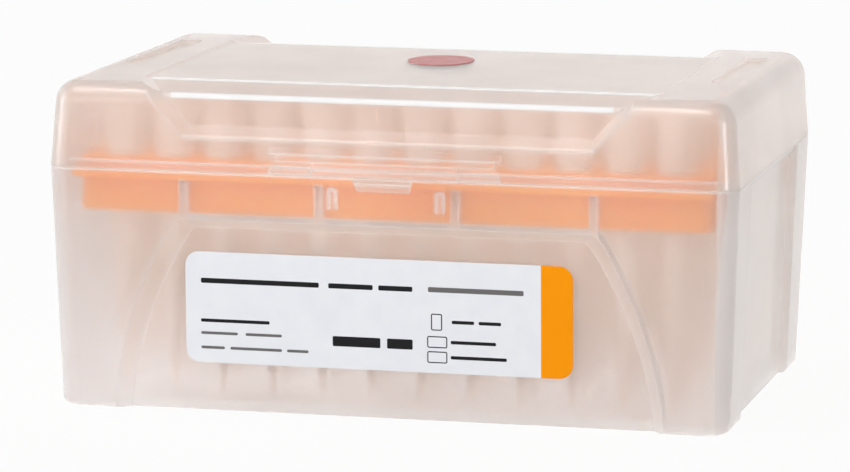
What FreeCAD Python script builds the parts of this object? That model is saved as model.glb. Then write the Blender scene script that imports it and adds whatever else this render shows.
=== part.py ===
"""Rack box of filter pipette tips: a frosted tub with a hinged lid, a tray, and 96 tips.

The frame has +Z up and its origin at the middle of the foot. X runs along the long side and
the latch tab faces -Y. Lengths are in millimetres.
"""

import FreeCAD
import Part
import math
import os

import Sketcher
from FreeCAD import Placement, Rotation, Vector

# Each row is the sheet's alias, its value and what it sets.
SIZES = (
    # The box as a whole.
    ("box_length", 123.0, "outside, along X at the seam"),
    ("box_width", 82.7, "outside, along Y at the seam"),
    ("seam_height", 42.8, "foot to the lid's lower edge"),
    ("lid_height", 15.2, "lid's lower edge to its highest face"),
    ("side_draft", 2.0, "how far the tub's front and back lean out by the seam"),
    ("end_draft", 1.42, "how far the tub's ends lean out by the seam"),
    ("lid_draft", 1.0, "how far each lid side leans in by its top"),
    ("wall", 1.2, "moulded wall"),
    ("floor_wall", 1.4, "tub floor"),
    ("corner_round", 4.9, "outer radius of the four upright corners"),
    ("foot_round", 1.3, "radius round the foot"),
    ("floor_round", 0.5, "radius round the inside of the floor"),
    ("seam_round", 0.25, "radius round the tub's outer top edge"),
    ("lid_round", 4.2, "radius round the lid's top"),
    # Arched panel sunk into the tub's front and back.
    ("panel_depth", 3.0, "below the outer face"),
    ("panel_slope", 0.72, "side bank, across per depth"),
    ("panel_brow_slope", 0.63, "top bank, down per depth"),
    ("panel_foot_half", 49.25, "half width at the foot"),
    ("panel_brow_half", 37.3, "half width at the top"),
    ("panel_drop", 8.2, "seam to the arch's top edge"),
    ("panel_side_radius", 71.0, "curve of the arch's sides"),
    ("panel_corner_round", 1.8, "where side bank meets top bank"),
    # Plain recess in each end of the tub.
    ("end_recess_half", 24.8, "half width"),
    ("end_recess_depth", 1.6, "below the outer face"),
    # Ribs that carry the tray, hooks beside the latch, and the lip under the lid.
    ("rib_thickness", 1.0, "along X"),
    ("rib_pitch", 24.4, "rib to rib"),
    ("rib_stand", 0.2, "ribs past the inside of the sunk panel"),
    ("hook_offset", 9.6, "middle of each hook from the centre"),
    ("hook_width", 1.7, "outside its legs"),
    ("hook_height", 3.7, "top bar to leg ends"),
    ("hook_thickness", 0.5, "of bar and legs"),
    ("hook_drop", 1.95, "seam to the bar's top"),
    ("lip_thickness", 0.5, "inner part of the wall that stands on"),
    ("lip_height", 1.5, "above the seam"),
    ("lip_clearance", 0.1, "lip to the lid's rebate"),
    # Tray that holds the tips.
    ("tray_drop", 0.1, "seam to the flange's top"),
    ("flange_thickness", 1.5, "rim that rests on the ribs"),
    ("flange_side_gap", 0.45, "flange to the long walls"),
    ("flange_end_gap", 2.6, "flange to the end walls"),
    ("flange_round", 3.2, "corners of the flange"),
    ("deck_rise", 1.6, "deck above the flange"),
    ("deck_thickness", 1.5, "plate that the tips hang in"),
    ("skirt_depth", 7.7, "flange's top to the skirt's lower edge"),
    ("skirt_gap", 0.5, "skirt to the ribs"),
    ("skirt_end_inset", 1.1, "skirt inside the flange's ends"),
    ("skirt_round", 2.4, "corners of the skirt"),
    ("tray_wall", 1.2, "skirt wall"),
    # Tips and the filters in them.
    ("tip_pitch", 9.0, "hole to hole, the standard plate grid"),
    ("roof_gap", 1.65, "mouths to the underside of the lid's crown"),
    ("point_gap", 1.6, "points to the tub's floor"),
    ("mouth_radius", 2.7, "bore that takes a pipette"),
    ("mouth_depth", 5.2, "mouth to the filter's top"),
    ("head_wall", 0.65, "round the mouth"),
    ("rim_proud", 0.25, "bead round the mouth, out of the head"),
    ("rim_height", 0.9, "bead, along Z"),
    ("head_seat", 0.3, "head past its hole in the deck"),
    ("hole_clearance", 0.2, "hole to the neck"),
    ("filter_step", 0.18, "shelf in the bore above the filter"),
    ("filter_length", 5.0, "porous plug"),
    ("filter_clearance", 0.02, "plug to its bore"),
    ("neck_wall", 0.85, "under the filter"),
    ("shaft_radius", 1.75, "two thirds of the way down"),
    ("shaft_bore", 1.25, "two thirds of the way down"),
    ("point_radius", 0.5, "outside, at the point"),
    ("point_bore", 0.27, "inside, at the point"),
    # Lid: a sunk window at front and back, the brow over it and the crown between them.
    ("window_depth", 3.0, "below the outer face"),
    ("window_rise", 6.5, "seam to its lower edge"),
    ("window_half", 36.5, "half width at its lower edge"),
    ("window_flare", 0.95, "widening per height, each side"),
    ("window_slope", 0.67, "side bank, across per depth"),
    ("window_sill_slope", 0.5, "lower bank, up per depth"),
    ("window_edge_round", 0.8, "rounded rim of the window"),
    ("crown_drop", 0.4, "below the corner faces"),
    ("crown_half_length", 45.7, "flat part"),
    ("crown_half_width", 27.8, "flat part"),
    ("crown_bank", 2.5, "bank round the crown, across per height"),
    ("brow_step", 0.18, "crown down to the brow's upper edge"),
    ("brow_fall", 0.13, "down per length, from crown to window"),
    ("brow_edge_round", 0.8, "rounded lower edge of the brow"),
    ("brow_taper", 0.48, "narrowing per length, each side"),
    ("brow_bank", 2.0, "banks beside the brow, across per height"),
    ("slot_start", 51.7, "inner edge of each stacking slot"),
    ("slot_width", 4.0, "along X"),
    ("slot_depth", 0.7, "below the corner faces"),
    ("slot_front", -11.5, "end towards the latch"),
    ("slot_back", 26.0, "end towards the hinge"),
    # Thumb grip and latch tab on the lid's front.
    ("ridge_pitch", 1.27, "ridge to ridge"),
    ("ridge_proud", 0.35, "out of the lid's face"),
    ("ridge_half", 20.6, "half length of the top ridge"),
    ("ridge_taper", 1.1, "how much less for the ridge under it"),
    ("ridge_short_half", 12.9, "half length between the frames"),
    ("frame_start", 12.7, "inner foot of each frame"),
    ("frame_width", 8.2, "along X at the seam"),
    ("frame_height", 1.7, "above the seam"),
    ("frame_lean", 0.8, "how far its sides lean in"),
    ("frame_line", 0.36, "width of its bars"),
    ("frame_proud", 0.45, "out of the lid's face"),
    ("tab_half", 5.35, "half width at its root"),
    ("tab_tip_half", 4.45, "half width at its lower edge"),
    ("tab_root", 0.35, "above the seam"),
    ("tab_drop", 2.1, "below the seam"),
    ("tab_proud", 1.5, "out of the lid's face"),
    ("tab_gap", 0.25, "tab to the tub"),
    ("tab_step", 0.25, "depth of the grooves across it"),
    # Hinge moulded on the back.
    ("hinge_spread", 32.0, "middle of each hinge from the centre"),
    ("knuckle_radius", 2.0, "knuckle and ears"),
    ("knuckle_gap", 0.25, "knuckle to the back wall"),
    ("knuckle_length", 9.0, "along X"),
    ("ear_thickness", 2.2, "along X"),
    ("ear_gap", 0.2, "knuckle to each ear"),
    ("ear_depth", 7.0, "seam to the ear's root"),
    ("pin_radius", 1.0, "stub on the knuckle"),
    ("pin_length", 2.0, "into each ear"),
    ("pin_clearance", 0.05, "stub to its bore"),
    # Label on the front panel and indicator on the lid.
    ("label_length", 69.5, "along X"),
    ("label_height", 19.9, "up the panel"),
    ("label_left", -36.8, "its left edge"),
    ("label_bottom", 8.4, "its lower edge"),
    ("label_round", 2.5, "its corners"),
    ("label_thickness", 0.12, "paper"),
    ("sticker_half_length", 6.0, "along X"),
    ("sticker_half_width", 7.5, "along Y"),
    ("sticker_right", -2.0, "its middle along X"),
    ("sticker_back", 9.7, "its middle along Y"),
    ("sticker_thickness", 0.15, "film"),
)

TIP_COLUMNS = 12
TIPS_PER_COLUMN = 8
TRAY_RIBS = 4
OVERSHOOT = 0.5  # how far a cutter starts outside the face that it cuts
SINK = 0.3  # how far an added feature starts inside the wall that it stands on
LEAST_RISE = 1.0  # an edge that climbs more than this runs up a corner
TOUCH = 0.01  # tolerance for finding edges by place

# Sizes that follow from the sheet, as expressions.
DRAFTS = {"box_length": "dims.end_draft", "box_width": "dims.side_draft"}
TOP = "(dims.seam_height + dims.lid_height)"
LID_LEAN = "(-atan(dims.lid_draft / dims.lid_height))"
PANEL_TOP = "(dims.seam_height - dims.panel_drop)"
FLANGE_TOP = "(dims.seam_height - dims.tray_drop)"
FLANGE_BOTTOM = f"({FLANGE_TOP} - dims.flange_thickness)"
DECK_TOP = f"({FLANGE_TOP} + dims.deck_rise)"
FLANGE_HALF_LENGTH = "(dims.box_length / 2 - dims.wall - dims.flange_end_gap)"
FLANGE_HALF_WIDTH = "(dims.box_width / 2 - dims.wall - dims.flange_side_gap)"
SKIRT_HALF_LENGTH = f"({FLANGE_HALF_LENGTH} - dims.skirt_end_inset)"
RIB_REACH = "(dims.panel_depth + dims.wall + dims.rib_stand)"
SKIRT_HALF_WIDTH = f"(dims.box_width / 2 - {RIB_REACH} - dims.skirt_gap)"
CROWN_TOP = f"({TOP} - dims.crown_drop)"
MOUTH_TOP = f"({CROWN_TOP} - dims.wall - dims.roof_gap)"
POINT = "(dims.floor_wall + dims.point_gap)"
HEAD_RADIUS = "(dims.mouth_radius + dims.head_wall)"
HOLE_RADIUS = f"({HEAD_RADIUS} - dims.head_seat)"
NECK_RADIUS = f"({HOLE_RADIUS} - dims.hole_clearance)"
SEAT_RADIUS = "(dims.mouth_radius - dims.filter_step)"
FILTER_TOP = f"({MOUTH_TOP} - dims.mouth_depth)"
HINGE_Y = "(dims.box_width / 2 + dims.knuckle_radius + dims.knuckle_gap)"

document = FreeCAD.newDocument("pipette_tip_box")


def make_sheet():
    """The spreadsheet of driving sizes, one aliased row for each."""
    sheet = document.addObject("Spreadsheet::Sheet", "dims")
    for row, (alias, value, meaning) in enumerate(SIZES, start=1):
        sheet.set(f"A{row}", alias)
        sheet.set(f"B{row}", str(value))
        sheet.set(f"C{row}", meaning)
        sheet.setAlias(f"B{row}", alias)
    document.recompute()
    return sheet


dims = make_sheet()


def value_of(expression):
    """The number that an expression has now."""
    return float(dims.evalExpression(str(expression)))


def bind(item, **expressions):
    """Binds properties to expressions. A double underscore stands for a dot in the path."""
    for path, expression in expressions.items():
        item.setExpression(path.replace("__", "."), str(expression))


def origin_plane(body, role):
    """One of a body's own origin planes or axes."""
    return next(item for item in body.Origin.OriginFeatures if item.Role == role)


def attach(item, body, role, base=("0", "0", "0"), lean="0"):
    """Puts a sketch or primitive on an origin plane, moved by base and leaned about its own X."""
    item.AttachmentSupport = [(origin_plane(body, role), "")]
    item.MapMode = "FlatFace"
    start = Vector(*(value_of(part) for part in base))
    turned = Rotation(Vector(1, 0, 0), value_of(lean) or 1.0)
    item.AttachmentOffset = Placement(start, turned)
    for axis, part in zip("xyz", base):
        item.setExpression(f"AttachmentOffset.Base.{axis}", str(part))
    item.setExpression("AttachmentOffset.Rotation.Angle", str(lean))


def bulging_arc(start, end, radius):
    """The short arc from start to end that bulges to the right of that direction."""
    chord = end - start
    half = chord.Length / 2
    across = Vector(-chord.y, chord.x, 0).normalize()
    centre = start + chord * 0.5 + across * math.sqrt(radius ** 2 - half ** 2)
    return Part.Arc(start, centre - across * radius, end)


def outline(body, name, role, corners, base=("0", "0", "0"), lean="0", arcs=None, holes=()):
    """A sketch of closed loops, anticlockwise. arcs maps a side's number to its radius."""
    sketch = body.newObject("Sketcher::SketchObject", name)
    attach(sketch, body, role, base, lean)
    add_loop(sketch, corners, arcs or {})
    for hole in holes:
        add_loop(sketch, hole, {})
    return sketch


def add_loop(sketch, corners, arcs):
    """Adds one closed loop, every corner and arc bound to its expressions."""
    first = sketch.GeometryCount
    count = len(corners)
    points = [Vector(value_of(x), value_of(y), 0) for x, y in corners]
    for side in range(count):
        start, end = points[side], points[(side + 1) % count]
        if side in arcs:
            sketch.addGeometry(bulging_arc(start, end, value_of(arcs[side])))
        else:
            sketch.addGeometry(Part.LineSegment(start, end))
    for side in range(count):
        following = first + (side + 1) % count
        sketch.addConstraint(Sketcher.Constraint("Coincident", first + side, 2, following, 1))
    for side, (x, y) in enumerate(corners):
        bind_place(sketch, "DistanceX", first + side, x, points[side].x)
        bind_place(sketch, "DistanceY", first + side, y, points[side].y)
    for side, radius in arcs.items():
        index = sketch.addConstraint(
            Sketcher.Constraint("Radius", first + side, value_of(radius)))
        sketch.setExpression(f"Constraints[{index}]", str(radius))


def bind_place(sketch, kind, side, expression, value):
    """Holds the start of one side at a distance from the sketch's origin."""
    index = sketch.addConstraint(Sketcher.Constraint(kind, -1, 1, side, 1, value))
    sketch.setExpression(f"Constraints[{index}]", str(expression))


def rectangle(left, low, right, high):
    """The corners of a rectangle, anticlockwise."""
    return [(left, low), (right, low), (right, high), (left, high)]


def new_body(label):
    """A PartDesign body, which may hold several separate solids."""
    body = document.addObject("PartDesign::Body", label)
    body.Label = label
    body.AllowCompound = True
    return body


def wedge(body, name, low, high, low_half, high_half=None, cut=False):
    """A block from height low to high, its half sizes along X and Y given at each end."""
    kind = "PartDesign::SubtractiveWedge" if cut else "PartDesign::AdditiveWedge"
    block = body.newObject(kind, name)
    attach(block, body, "XZ_Plane")
    high_half = high_half or low_half
    bind(block, Ymin=low, Ymax=high)
    bind(block, Xmin=f"-{low_half[0]}", Xmax=low_half[0])
    bind(block, Zmin=f"-{low_half[1]}", Zmax=low_half[1])
    bind(block, X2min=f"-{high_half[0]}", X2max=high_half[0])
    bind(block, Z2min=f"-{high_half[1]}", Z2max=high_half[1])
    document.recompute()
    return block


def edges_where(shape, test):
    """The names of a shape's edges whose box passes the test."""
    boxes = (edge.BoundBox for edge in shape.Edges)
    return [f"Edge{number}" for number, box in enumerate(boxes, start=1) if test(box)]


def fillet(body, name, base, radius, test):
    """Rounds the edges of base that pass the test."""
    names = edges_where(base.Shape, test)
    if not names:
        raise ValueError(f"{name}: no edge to round")
    feature = body.newObject("PartDesign::Fillet", name)
    feature.Base = (base, names)
    bind(feature, Radius=radius)
    document.recompute()
    return feature


def climbs(box):
    """True for an edge that runs up a corner."""
    return box.ZLength > LEAST_RISE


def pad(body, name, sketch, length, reversed_side=False, middle=False):
    """Extrudes a sketch along its normal, against it, or both ways."""
    feature = body.newObject("PartDesign::Pad", name)
    feature.Profile = (sketch, [""])
    feature.Reversed = reversed_side
    feature.Midplane = middle
    bind(feature, Length=length)
    document.recompute()
    return feature


def pocket(body, name, sketch, length, reversed_side=False):
    """Cuts a sketch against its normal, or along it, and makes sure that something went."""
    before = body.Shape.Volume
    feature = body.newObject("PartDesign::Pocket", name)
    feature.Profile = (sketch, [""])
    feature.Reversed = reversed_side
    bind(feature, Length=length)
    document.recompute()
    if not feature.Shape.Volume < before:
        raise ValueError(f"{name}: the pocket cut nothing")
    return feature


def carve(body, name, outer, inner):
    """Cuts a ruled loft between two sketches, and makes sure that something went."""
    before = body.Shape.Volume
    feature = body.newObject("PartDesign::SubtractiveLoft", name)
    feature.Profile = (outer, [""])
    feature.Sections = [(inner, [""])]
    feature.Ruled = True
    document.recompute()
    if not feature.Shape.Volume < before:
        raise ValueError(f"{name}: the loft cut nothing")
    return feature


def mirror(body, name, features, role):
    """Repeats features on the other side of one of the body's origin planes."""
    feature = body.newObject("PartDesign::Mirrored", name)
    feature.Originals = features
    feature.MirrorPlane = (origin_plane(body, role), [""])
    body.Tip = feature
    document.recompute()
    return feature


def cylinder(body, name, radius, length, base, role="XY_Plane", cut=False):
    """A round bar from base along the normal of an origin plane."""
    kind = "PartDesign::SubtractiveCylinder" if cut else "PartDesign::AdditiveCylinder"
    bar = body.newObject(kind, name)
    attach(bar, body, role, base)
    bind(bar, Radius=radius, Height=length)
    document.recompute()
    return bar


def row_of(body, name, feature, role, pitch, count):
    """Repeats a feature along an origin axis."""
    pattern = body.newObject("PartDesign::LinearPattern", name)
    pattern.Originals = [feature]
    pattern.Direction = (origin_plane(body, role), [""])
    pattern.Occurrences = count
    bind(pattern, Length=f"{pitch} * {count - 1}")
    body.Tip = pattern
    document.recompute()
    return pattern


def grid_of(body, name, feature, rows, mirror_role=None):
    """Repeats a feature in rows of (axis, pitch, count), and mirrors them all if asked."""
    grid = body.newObject("PartDesign::MultiTransform", name)
    grid.Originals = [feature]
    steps = []
    for role, pitch, count in rows:
        step = body.newObject("PartDesign::LinearPattern", f"{name}_{role}")
        step.Direction = (origin_plane(body, role), [""])
        step.Occurrences = count
        bind(step, Length=f"{pitch} * {count - 1}")
        steps.append(step)
    if mirror_role:
        step = body.newObject("PartDesign::Mirrored", f"{name}_{mirror_role}")
        step.MirrorPlane = (origin_plane(body, mirror_role), [""])
        steps.append(step)
    grid.Transformations = steps
    body.Tip = grid
    document.recompute()
    return grid


def cut_from(label, base, tool):
    """base with tool taken away."""
    result = document.addObject("Part::Cut", label)
    result.Label = label
    result.Base = base
    result.Tool = tool
    document.recompute()
    return result


def fuse(label, pieces):
    """The pieces moulded as one."""
    result = document.addObject("Part::MultiFuse", label)
    result.Label = label
    result.Shapes = pieces
    result.Refine = False
    document.recompute()
    return result


# ---------------------------------------------------------------- tub


def tub_half(size, height, inset):
    """Half the tub's length or width at a height, inside its wall by inset."""
    lean = f"{DRAFTS[size]} * (1 - ({height}) / dims.seam_height)"
    return f"(dims.{size} / 2 - {lean} - ({inset}))"


def tub_lean(size):
    """How far the tub's ends, or its front and back, lean from upright."""
    return f"atan({DRAFTS[size]} / dims.seam_height)"


def on_tub_side(size, depth):
    """Where a sketch on a leaning tub side has its origin, sunk by depth."""
    foot, lean = f"(dims.{size} / 2 - {DRAFTS[size]})", tub_lean(size)
    return ("0", f"({depth}) * sin({lean})", f"{foot} - ({depth}) * cos({lean})")


def panel_outline(body, name, depth, inset):
    """The arched panel's outline at a depth, grown so that the wall stays whole."""
    side_grow = f"({inset}) * sqrt(1 + dims.panel_slope ^ 2)"
    brow_grow = f"({inset}) * sqrt(1 + dims.panel_brow_slope ^ 2)"
    foot = f"(dims.panel_foot_half - dims.panel_slope * ({depth}) + {side_grow})"
    brow = f"(dims.panel_brow_half - dims.panel_slope * ({depth}) + {side_grow})"
    top = f"({PANEL_TOP} - dims.panel_brow_slope * ({depth}) + {brow_grow})"
    below = f"-{OVERSHOOT}"
    corners = [(f"-{foot}", below), (foot, below), (brow, top), (f"-{brow}", top)]
    sides = {1: "dims.panel_side_radius", 3: "dims.panel_side_radius"}
    place = on_tub_side("box_width", depth)
    return outline(body, name, "XZ_Plane", corners, place, tub_lean("box_width"), sides)


def is_panel_corner(box):
    """True for an edge where the arch's side bank meets its top bank."""
    top = value_of(PANEL_TOP)
    drop = value_of("dims.panel_brow_slope * dims.panel_depth")
    high = top - 2 * drop < box.ZMin and box.ZMax < top + drop
    return high and box.XLength > LEAST_RISE and box.YLength > LEAST_RISE and climbs(box)


def tub_form(label, floor_height, inset, foot_radius, edge_round=None):
    """The tub as a full block: its outside with no inset, its hollow with the wall as inset."""
    body = new_body(label)
    low_half = [tub_half(size, floor_height, inset) for size in ("box_length", "box_width")]
    high_half = [f"(dims.{size} / 2 - ({inset}))" for size in ("box_length", "box_width")]
    block = wedge(body, f"{label}_block", floor_height, "dims.seam_height", low_half, high_half)
    round_radius = f"dims.corner_round - ({inset})"
    block = fillet(body, f"{label}_corners", block, round_radius, climbs)
    low = value_of(floor_height)
    block = fillet(body, f"{label}_foot", block, foot_radius, lambda box: box.ZMax < low + TOUCH)
    if edge_round:
        high = value_of("dims.seam_height")
        fillet(body, f"{label}_seam", block, edge_round, lambda box: box.ZMin > high - TOUCH)

    start, end = f"({inset}) - {OVERSHOOT}", f"({inset}) + dims.panel_depth"
    panel = carve(body, f"{label}_panel",
                  panel_outline(body, f"{label}_panel_rim", start, inset),
                  panel_outline(body, f"{label}_panel_floor", end, inset))
    both = mirror(body, f"{label}_back_panel", [panel], "XZ_Plane")
    fillet(body, f"{label}_panel_corners", both, "dims.panel_corner_round", is_panel_corner)

    half = f"(dims.end_recess_half + ({inset}))"
    corners = rectangle(f"-{half}", f"-{OVERSHOOT}", half, f"dims.seam_height + {OVERSHOOT}")
    recess_rim = outline(body, f"{label}_end_rim", "YZ_Plane", corners,
                         on_tub_side("box_length", start), tub_lean("box_length"))
    recess = pocket(body, f"{label}_end", recess_rim, f"dims.end_recess_depth + {OVERSHOOT}")
    mirror(body, f"{label}_far_end", [recess], "YZ_Plane")
    return body


def seam_block(label, low, high, inset):
    """An upright block with rounded corners that follows the seam inside the outer face."""
    body = new_body(label)
    half = [f"(dims.{size} / 2 - ({inset}))" for size in ("box_length", "box_width")]
    block = wedge(body, f"{label}_block", low, high, half)
    fillet(body, f"{label}_corners", block, f"dims.corner_round - ({inset})", climbs)
    return body


def seam_lip():
    """The thin inner part of the tub's wall that stands up inside the lid."""
    low = "(dims.seam_height - dims.lip_height)"
    high = "(dims.seam_height + dims.lip_height)"
    outer = seam_block("lip_outside", low, high, "dims.wall - dims.lip_thickness")
    inner = seam_block("lip_inside", f"{low} - {OVERSHOOT}", f"{high} + {OVERSHOOT}", "dims.wall")
    return cut_from("seam_lip", outer, inner)


def tray_ribs():
    """Upright ribs inside the front and back walls, with the tray's flange on their tops."""
    body = new_body("tray_ribs")
    outer = "(-dims.box_width / 2)"
    foot = f"{PANEL_TOP} + {SINK}"
    toe = f"{PANEL_TOP} - dims.panel_brow_slope * dims.panel_depth"
    corners = [
        (f"{outer} + dims.wall / 2 + {SINK}", foot),
        (f"{outer} + dims.panel_depth + dims.wall", toe),
        (f"{outer} + {RIB_REACH}", toe),
        (f"{outer} + {RIB_REACH}", FLANGE_BOTTOM),
        (f"{outer} + dims.wall / 2 + {SINK}", FLANGE_BOTTOM),
    ]
    first = f"-dims.rib_pitch * {(TRAY_RIBS - 1) / 2}"
    sketch = outline(body, "rib_outline", "YZ_Plane", corners, ("0", "0", first))
    rib = pad(body, "rib", sketch, "dims.rib_thickness", middle=True)
    grid_of(body, "rib_rows", rib, [("X_Axis", "dims.rib_pitch", TRAY_RIBS)], "XZ_Plane")
    return body


def tray_hook(side):
    """A small moulded arch inside the front wall that steadies the tray beside the latch."""
    body = new_body("tray_hook_left" if side < 0 else "tray_hook_right")
    half, bar = "dims.hook_width / 2", "dims.hook_thickness"
    middle = f"({side} * dims.hook_offset)"
    top = "(dims.seam_height - dims.hook_drop)"
    low = f"({top} - dims.hook_height)"
    corners = [
        (f"{middle} - {half}", low),
        (f"{middle} - {half} + {bar}", low),
        (f"{middle} - {half} + {bar}", f"{top} - {bar}"),
        (f"{middle} + {half} - {bar}", f"{top} - {bar}"),
        (f"{middle} + {half} - {bar}", low),
        (f"{middle} + {half}", low),
        (f"{middle} + {half}", f"{top} - {bar}"),
        (f"{middle} + {half} - {bar}", top),
        (f"{middle} - {half} + {bar}", top),
        (f"{middle} - {half}", f"{top} - {bar}"),
    ]
    place = on_tub_side("box_width", f"dims.wall - {SINK}")
    sketch = outline(body, f"{body.Name}_outline", "XZ_Plane", corners, place,
                     tub_lean("box_width"))
    pad(body, f"{body.Name}_arch", sketch, f"dims.hook_thickness + {SINK}", reversed_side=True)
    return body


def hinge_ear(number, left):
    """One ear on the tub's back, bored for a stub of the lid's knuckle."""
    body = new_body(f"hinge_ear_{number}")
    wall = "(dims.box_width / 2)"
    rear = f"{HINGE_Y} + dims.knuckle_radius"
    corners = [
        (f"{wall} - dims.wall / 2", f"dims.seam_height - {SINK}"),
        (f"{wall} - dims.wall / 2", "dims.seam_height - dims.ear_depth"),
        (rear, "dims.seam_height - dims.knuckle_radius"),
        (rear, "dims.seam_height"),
        (HINGE_Y, "dims.seam_height"),
        (HINGE_Y, f"dims.seam_height - {SINK}"),
    ]
    sketch = outline(body, f"ear_outline_{number}", "YZ_Plane", corners, ("0", "0", left))
    pad(body, f"ear_web_{number}", sketch, "dims.ear_thickness")
    axis = (HINGE_Y, "dims.seam_height", left)
    cylinder(body, f"ear_round_{number}", "dims.knuckle_radius", "dims.ear_thickness", axis,
             "YZ_Plane")
    cylinder(body, f"ear_bore_{number}", "dims.pin_radius + dims.pin_clearance",
             "dims.ear_thickness", axis, "YZ_Plane", cut=True)
    return body


def hinge_ears():
    """The four ears, a pair about each knuckle."""
    reach = "(dims.knuckle_length / 2 + dims.ear_gap)"
    lefts = []
    for side in (-1, 1):
        middle = f"{side} * dims.hinge_spread"
        lefts.append(f"{middle} - {reach} - dims.ear_thickness")
        lefts.append(f"{middle} + {reach}")
    return [hinge_ear(number, left) for number, left in enumerate(lefts, start=1)]


def make_tub():
    """The tub, moulded as one piece."""
    skin = tub_form("tub_skin", "0", "0", "dims.foot_round", "dims.seam_round")
    hollow = tub_form("tub_hollow", "dims.floor_wall", "dims.wall", "dims.floor_round")
    shell = cut_from("tub_shell", skin, hollow)
    extras = [seam_lip(), tray_ribs(), tray_hook(-1), tray_hook(1)]
    return fuse("base_tub", [shell] + extras + hinge_ears())


# ---------------------------------------------------------------- lid


def on_lid_front(depth):
    """Where a sketch on the lid's leaning front has its origin: at the seam, sunk by depth."""
    rise = f"dims.seam_height + ({depth}) * sin({LID_LEAN})"
    return ("0", rise, f"dims.box_width / 2 - ({depth}) * cos({LID_LEAN})")


def window_outline(body, name, depth, inset):
    """The sunk window's outline at a depth, grown so that the wall stays whole."""
    side_grow = f"({inset}) * sqrt(1 + dims.window_slope ^ 2)"
    sill_grow = f"({inset}) * sqrt(1 + dims.window_sill_slope ^ 2)"
    sill = f"(dims.window_rise + dims.window_sill_slope * ({depth}) - {sill_grow})"
    top = f"(dims.lid_height + 4 * {OVERSHOOT})"
    side = f"dims.window_half - dims.window_slope * ({depth}) + {side_grow}"
    low_half = f"({side} + dims.window_flare * ({sill} - dims.window_rise))"
    high_half = f"({side} + dims.window_flare * ({top} - dims.window_rise))"
    corners = [(f"-{low_half}", sill), (low_half, sill), (high_half, top), (f"-{high_half}", top)]
    return outline(body, name, "XZ_Plane", corners, on_lid_front(depth), LID_LEAN)


def brow_outline(body, name, lift, inset):
    """The sloping brow between crown and window, lifted off its own plane by lift."""
    length = "(dims.box_width / 2 - dims.crown_half_width + 2)"
    wide = f"(dims.crown_half_length + dims.brow_bank * {lift} + ({inset}))"
    narrow = f"({wide} - dims.brow_taper * {length})"
    corners = [(f"-{narrow}", f"-{length}"), (narrow, f"-{length}"), (wide, "0"), (f"-{wide}", "0")]
    start = f"({CROWN_TOP} - dims.brow_step)"
    place = ("0", "-dims.crown_half_width", f"{start} - ({inset}) + {lift}")
    return outline(body, name, "XY_Plane", corners, place, "atan(dims.brow_fall)")


def crown_outline(body, name, lift, inset):
    """The crown's outline, lifted off its face by lift."""
    long_half = f"(dims.crown_half_length + dims.crown_bank * {lift} + ({inset}))"
    wide_half = f"(dims.crown_half_width + dims.crown_bank * {lift})"
    corners = rectangle(f"-{long_half}", f"-{wide_half}", long_half, wide_half)
    place = ("0", "0", f"{CROWN_TOP} - ({inset}) + {lift}")
    return outline(body, name, "XY_Plane", corners, place)


def is_window_rim(box):
    """True for an edge where a window's lower or side bank meets the lid's outer face."""
    outer = value_of("dims.box_width / 2 - dims.lid_draft")
    sill = value_of("dims.seam_height + dims.window_rise")
    return min(abs(box.YMin), abs(box.YMax)) > outer and abs(box.ZMin - sill) < 0.2


def is_brow_edge(box):
    """True for the long edge where a brow ends at its window."""
    inner = value_of("dims.box_width / 2 - dims.window_depth - dims.lid_draft")
    rise = value_of("dims.seam_height + dims.window_rise")
    beyond = min(abs(box.YMin), abs(box.YMax)) > inner
    return beyond and box.ZMin > rise + TOUCH and box.XLength > value_of("dims.window_half")


def lid_form(label, inset, edges_rounded=False):
    """The lid as a full block: its outside with no inset, its hollow with the wall as inset."""
    body = new_body(label)
    sizes = ("box_length", "box_width")
    low_half = [f"(dims.{size} / 2 - ({inset}))" for size in sizes]
    shrink = f"dims.lid_draft * (1 - ({inset}) / dims.lid_height)"
    high_half = [f"(dims.{size} / 2 - {shrink} - ({inset}))" for size in sizes]
    roof = f"({TOP} - ({inset}))"
    block = wedge(body, f"{label}_block", "dims.seam_height", roof, low_half, high_half)
    block = fillet(body, f"{label}_corners", block, f"dims.corner_round - ({inset})", climbs)
    high = value_of(roof)
    fillet(body, f"{label}_top", block, f"dims.lid_round - ({inset})",
           lambda box: box.ZMin > high - TOUCH)

    crown = carve(body, f"{label}_crown",
                  crown_outline(body, f"{label}_crown_rim", "1", inset),
                  crown_outline(body, f"{label}_crown_floor", "0", inset))
    brow = carve(body, f"{label}_brow",
                 brow_outline(body, f"{label}_brow_rim", "3", inset),
                 brow_outline(body, f"{label}_brow_floor", "0", inset))
    start, end = f"({inset}) - {OVERSHOOT}", f"({inset}) + dims.window_depth"
    window = carve(body, f"{label}_window",
                   window_outline(body, f"{label}_window_rim", start, inset),
                   window_outline(body, f"{label}_window_floor", end, inset))
    mirror(body, f"{label}_back", [brow, window], "XZ_Plane")

    corners = rectangle(f"dims.slot_start - ({inset})", f"dims.slot_front - ({inset})",
                        f"dims.slot_start + dims.slot_width + ({inset})",
                        f"dims.slot_back + ({inset})")
    slot_rim = outline(body, f"{label}_slot_rim", "XY_Plane", corners,
                       ("0", "0", f"{roof} + {OVERSHOOT}"))
    slot = pocket(body, f"{label}_slot", slot_rim, f"dims.slot_depth + {OVERSHOOT}")
    both = mirror(body, f"{label}_far_slot", [slot], "YZ_Plane")
    if edges_rounded:
        rims = fillet(body, f"{label}_window_rims", both, "dims.window_edge_round", is_window_rim)
        fillet(body, f"{label}_brow_edges", rims, "dims.brow_edge_round", is_brow_edge)
    return body


def lid_rebate():
    """The room that the tub's lip needs inside the lid's edge."""
    return seam_block("lid_rebate", f"dims.seam_height - {OVERSHOOT}",
                      "dims.seam_height + dims.lip_height + dims.lip_clearance",
                      "dims.wall - dims.lip_thickness - dims.lip_clearance")


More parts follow.
